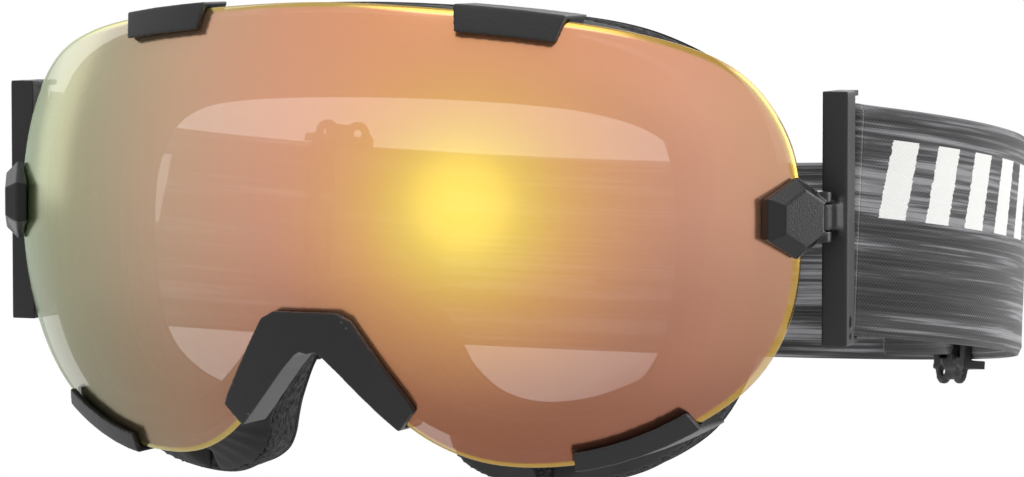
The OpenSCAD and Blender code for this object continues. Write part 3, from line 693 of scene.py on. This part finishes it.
# Outriggers. A square nylon post on each side, moulded in one with the knuckle that
# turns on the hinge pin and with a flared web over the hinge. An ear at each end
# holds the strap's bar, and a slot near the foot lets the bar be pressed out.
post_nylon = moulded_nylon("outrigger_nylon", "#2a2a2b", "#6e6e70", roughness=0.45, grit=2000.0)
for where, way, arm in (("left", -1, "left_arm"), ("right", 1, "right_arm")):
    low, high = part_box(where + "_outrigger")
    pin_low, pin_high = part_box(where + "_hinge_pin")
    outer_x = high.x if way > 0 else low.x
    pin = (pin_low + pin_high) / 2
    post_front = low.y + 0.0067
    rows = []
    for t in np.linspace(0, 1, 12):
        y = pin.y + 0.0006 + (post_front + 0.003 - pin.y) * t
        tall = 0.0028 + 0.0062 * t ** 2.4
        outer = outer_x - way * (0.0004 + 0.0012 * (1 - t) ** 2)
        inner = outer_x - way * 0.0021
        bevel = outer - way * 0.0003
        rows.append([[x, y, pin.z + z] for x, z in (
            (outer, tall * 0.8), (bevel, tall), (inner, tall),
            (inner, -tall), (bevel, -tall), (outer, -tall * 0.8))])
    rows = np.array(rows)
    web = skinned("web", rows, joined=False, ends=(rows[0].mean(0), rows[-1].mean(0)))
    foot = low.z
    cuts = []
    for z0, z1 in ((0.0036, 0.0062), (0.0012, 0.0026)):
        cuts.append(((outer_x - 0.0012, post_front + 0.0024, foot + z0),
                     (outer_x + 0.0012, post_front + 0.0034, foot + z1)))
    post = moulded(where + "_outrigger_post", where + "_outrigger", 0.0003, 3, more=[web.data], cuts=cuts)
    bpy.data.objects.remove(web)
    goes_in(post, where + "_outrigger", arm, post_nylon)

# Strap. Elastic webbing of polyester and rubber, 49 mm wide, woven in grey heather
# yarns that run along it, with woven pale blocks on the sides. Each half folds
# round its outrigger's bar and is sewn down, and the halves meet at the back.
axle = joints["right_slider_travel"]
centre = np.array([0, axle["pos_m"][1], axle["pos_m"][2]])
tilt = abs(math.atan2(axle["axis"][1], axle["axis"][2]))
across = np.array([0, math.sin(tilt), math.cos(tilt)])
rear = np.array([0, math.cos(tilt), -math.sin(tilt)])
side = np.array([1.0, 0, 0])
loop_r, webbing, wide = 0.1143, 0.002, 0.0494


def polar(radius, angle):
    """A place in the loop's plane, in metres and radians."""
    return radius * np.array([math.cos(angle), math.sin(angle)])


def round_bar(bar):
    """The strap's middle line in the loop's plane, from its sewn-down tail, round the bar to the back."""
    hub = np.array([abs(bar.x), (bar.y - centre[1]) / math.cos(tilt)])
    tail_r, fold_r = loop_r - 0.0021, 0.0026
    points = [polar(tail_r, a) for a in np.radians([-14, -17, -20, -23, -26])]
    points += [hub + polar(fold_r, a) for a in np.radians([165, 200, 235, 270, 305, 340, 368])]
    points += [polar(loop_r, a) for a in np.radians(np.linspace(-27, 90, 66))]
    line = np.array(points)
    soft = [line[0]]
    for k in range(1, len(line) - 2):
        a, b, c, d = line[k - 1:k + 3]
        soft += [0.5 * (2 * b + (c - a) * t + (2 * a - 5 * b + 4 * c - d) * t * t
                        + (3 * b - a - 3 * c + d) * t ** 3)
                 for t in (0, 0.25, 0.5, 0.75)]
    return np.array(soft + [line[-2], line[-1]])


def webbing_sheet(name, way, bar, line, broad, thick, lean=0.0):
    """Sheet of webbing along a line in the loop's plane, its UVs in metres along and across."""
    run = np.concatenate([[0], np.cumsum(np.linalg.norm(np.diff(line, axis=0), axis=1))])
    ahead = np.gradient(line, axis=0)
    ahead /= np.linalg.norm(ahead, axis=1)[:, None]
    out = np.stack([ahead[:, 1], -ahead[:, 0]], axis=1)
    span = np.linspace(-0.5, 0.5, 29)
    # the selvedges are a little thicker, and round
    plump = 1 + 0.10 * np.exp(-((0.5 - abs(span)) * broad / 0.0016 - 1) ** 2)
    pinch = np.sqrt(np.clip((0.5 - abs(span)) * broad / 0.0008, 0, 1))
    rows, uvs = [], []
    for k, point in enumerate(line):
        upright = np.array([0, 0, 1.0])
        near = min(1.0, max(0.0, (run[k] - lean) / 0.02)) if lean else 1.0
        wide_way = upright * (1 - near) + across * near
        wide_way /= np.linalg.norm(wide_way)
        ring = []
        for face in (1, -1):
            for j in (range(29) if face > 0 else range(28, -1, -1)):
                high = thick / 2 * plump[j] * (0.35 + 0.65 * pinch[j])
                flat = point + out[k] * high * face
                spot = centre + way * flat[0] * side + flat[1] * rear + span[j] * broad * wide_way
                ring.append(spot)
                uvs.append((run[k], (span[j] + 0.5) * broad))
        rows.append(ring)
    rows = np.array(rows)
    count = rows.shape[1]
    piece = skinned(name, rows, joined=False, ring=True)
    shape = bmesh.new()
    shape.from_mesh(piece.data)
    shape.verts.ensure_lookup_table()
    for first in (0, (len(rows) - 1) * count):
        for j in range(28):
            shape.faces.new([shape.verts[first + i] for i in (j, j + 1, count - 2 - j, count - 1 - j)])
    bmesh.ops.recalc_face_normals(shape, faces=shape.faces)
    plan = shape.loops.layers.uv.new("webbing")
    for f in shape.faces:
        f.smooth = True
        for corner in f.loops:
            corner[plan].uv = uvs[corner.vert.index]
    shape.to_mesh(piece.data)
    shape.free()
    return piece, run[-1]


def heather(name, dark, light, blocks=0.0):
    """Heather webbing. Warp yarns 0.9 mm wide run along it, each with pale slubs 40 mm long,
    over a rib every 1.1 mm. blocks is how strongly the woven pale blocks show."""
    made, tree, shader = finish(name, dark, roughness=0.85)
    shader.inputs["Specular IOR Level"].default_value = 0.15
    shader.inputs["Sheen Weight"].default_value = 0.25
    shader.inputs["Sheen Roughness"].default_value = 0.45
    plan = put(tree, "ShaderNodeUVMap", uv_map="webbing").outputs[0]
    slub = put(tree, "ShaderNodeVectorMath", {0: plan, 1: (20, 1150, 0)}, operation="MULTIPLY")
    slub = put(tree, "ShaderNodeTexNoise", {"Vector": slub.outputs[0], "Scale": 1.0, "Detail": 4.0,
                                            "Roughness": 0.62}, noise_dimensions="2D")
    broad = put(tree, "ShaderNodeVectorMath", {0: plan, 1: (9, 210, 0)}, operation="MULTIPLY")
    broad = put(tree, "ShaderNodeTexNoise", {"Vector": broad.outputs[0], "Scale": 1.0, "Detail": 2.0},
                noise_dimensions="2D")
    blend = put(tree, "ShaderNodeMath", {0: slub.outputs["Fac"], 1: broad.outputs["Fac"]}, operation="ADD")
    yarn = put(tree, "ShaderNodeValToRGB", {0: put(tree, "ShaderNodeMath", {0: blend.outputs[0], 1: 0.5},
               operation="MULTIPLY").outputs[0]}, stops=[(0.38, dark), (0.5, "#444446"), (0.62, light)])
    axes = put(tree, "ShaderNodeSeparateXYZ", {0: plan}).outputs
    rib = put(tree, "ShaderNodeMath", {0: axes["X"], 1: 2 * math.pi / 0.0011}, operation="MULTIPLY")
    rib = put(tree, "ShaderNodeMath", {0: rib.outputs[0]}, operation="SINE")
    yarns = put(tree, "ShaderNodeMath", {0: axes["Y"], 1: 2 * math.pi / 0.0009}, operation="MULTIPLY")
    yarns = put(tree, "ShaderNodeMath", {0: yarns.outputs[0]}, operation="SINE")
    weave = put(tree, "ShaderNodeMath", {0: rib.outputs[0], 1: yarns.outputs[0]}, operation="MULTIPLY")
    colour = yarn.outputs[0]
    if blocks:
        # pale blocks, leaning forwards, one every 15 mm along the upper half of the side
        ragged = put(tree, "ShaderNodeTexNoise", {"Vector": put(tree, "ShaderNodeVectorMath", {0: plan,
                     1: (300, 1500, 0)}, operation="MULTIPLY").outputs[0], "Scale": 1.0},
                     noise_dimensions="2D")
        ragged = put(tree, "ShaderNodeMath", {0: ragged.outputs["Fac"], 1: 0.0012}, operation="MULTIPLY")
        lean = put(tree, "ShaderNodeMath", {0: axes["Y"], 1: -0.22}, operation="MULTIPLY")
        along = put(tree, "ShaderNodeMath", {0: axes["X"], 1: lean.outputs[0]}, operation="ADD")
        along = put(tree, "ShaderNodeMath", {0: along.outputs[0], 1: ragged.outputs[0]}, operation="ADD")
        pitch = put(tree, "ShaderNodeMath", {0: along.outputs[0], 1: 0.0155}, operation="MODULO")
        tests = [(pitch.outputs[0], "LESS_THAN", 0.0085), (axes["Y"], "GREATER_THAN", 0.0255),
                 (axes["Y"], "LESS_THAN", 0.0425), (along.outputs[0], "GREATER_THAN", 0.0462),
                 (along.outputs[0], "LESS_THAN", 0.1395)]
        mask = None
        for value, test, limit in tests:
            step = put(tree, "ShaderNodeMath", {0: value, 1: limit}, operation=test)
            mask = step if mask is None else put(
                tree, "ShaderNodeMath", {0: mask.outputs[0], 1: step.outputs[0]}, operation="MULTIPLY")
        strength = put(tree, "ShaderNodeMath", {0: mask.outputs[0], 1: blocks}, operation="MULTIPLY")
        colour = put(tree, "ShaderNodeMix", {0: strength.outputs[0], 6: colour, 7: paint("#eeeeec")},
                     data_type="RGBA").outputs[2]
    tree.links.new(colour, shader.inputs["Base Color"])
    height = put(tree, "ShaderNodeMath", {0: weave.outputs[0], 1: slub.outputs["Fac"]}, operation="ADD")
    bump = put(tree, "ShaderNodeBump", {"Height": height.outputs[0], "Strength": 0.3, "Distance": 0.00012})
    tree.links.new(bump.outputs[0], shader.inputs["Normal"])
    return made


webbing_finish = heather("heather_elastic_webbing", "#29292a", "#8f8f92", blocks=0.95)
plain_webbing = heather("plain_elastic_webbing", "#29292a", "#707073")
for where, way, arm in (("left", -1, "left_arm"), ("right", 1, "right_arm")):
    low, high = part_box(where + "_strap_bar")
    bar = (low + high) / 2
    line = round_bar(bar)
    half, length = webbing_sheet(where + "_strap_half", way, bar, line, wide, webbing, lean=0.018)
    half.data.materials.append(webbing_finish)
    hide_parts(where + "_strap_end", "strap")
    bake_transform(half)

# Grip strips, beads of clear-black silicone printed along the inside of the back
silicone, tree, shader = finish("printed_silicone", "#1b1b1c", roughness=0.35)
place = put(tree, "ShaderNodeTexCoord").outputs["Object"]
swirl = put(tree, "ShaderNodeTexNoise", {"Vector": place, "Scale": 400.0})
rough = put(tree, "ShaderNodeMapRange", {"Value": swirl.outputs["Fac"], "To Min": 0.28, "To Max": 0.45})
tree.links.new(rough.outputs[0], shader.inputs["Roughness"])
tone = put(tree, "ShaderNodeValToRGB", {0: swirl.outputs["Fac"]},
           stops=[(0.35, "#171718"), (0.65, "#232324")])
tree.links.new(tone.outputs[0], shader.inputs["Base Color"])
nodes["grip_strips"].data.materials.clear()
nodes["grip_strips"].data.materials.append(silicone)

# Strap sliders. A three-bar acetal slider on each side of the back, inside the
# strap, with an end rail and two ears past each edge, and the strap's sewn loop.
acetal = moulded_nylon("moulded_acetal", "#242425", "#626264", roughness=0.4, grit=1800.0)
for where, way in (("left", -1), ("right", 1)):
    body = where + "_adjuster"
    # a plate joins the two ears past each edge of the strap
    low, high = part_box(where + "_slider")
    arc = np.radians(np.linspace(40.7, 43.7, 6))
    plates = []
    for end in (-1, 1):
        rows = []
        for a in arc:
            inner_edge, outer_edge = loop_r - 0.0029, loop_r - 0.0017
            ring = []
            for r, q in ((inner_edge, 0.0262), (outer_edge, 0.0262),
                         (outer_edge, 0.0297), (inner_edge, 0.0297)):
                ring.append(centre + way * r * math.cos(a) * side + r * math.sin(a) * rear + end * q * across)
            rows.append(ring)
        rows = np.array(rows)
        plate = skinned("plate", rows, joined=False, ends=(rows[0].mean(0), rows[-1].mean(0)))
        plates.append(plate)
    slider = moulded(where + "_three_bar_slider", where + "_slider", 0.00032, 3,
                     more=[x.data for x in plates])
    for plate in plates:
        bpy.data.objects.remove(plate)
    goes_in(slider, where + "_slider", body, acetal)
    inner = loop_r - webbing / 2 - 0.00035 - 0.0018 - 0.0003 - 0.0007
    line = np.array([polar(inner, a) for a in np.radians(np.linspace(42, 57, 40))])
    tail, length = webbing_sheet(where + "_sewn_loop", way, None, line, wide - 0.002, 0.0014)
    goes_in(tail, where + "_slider_loop", body, plain_webbing)
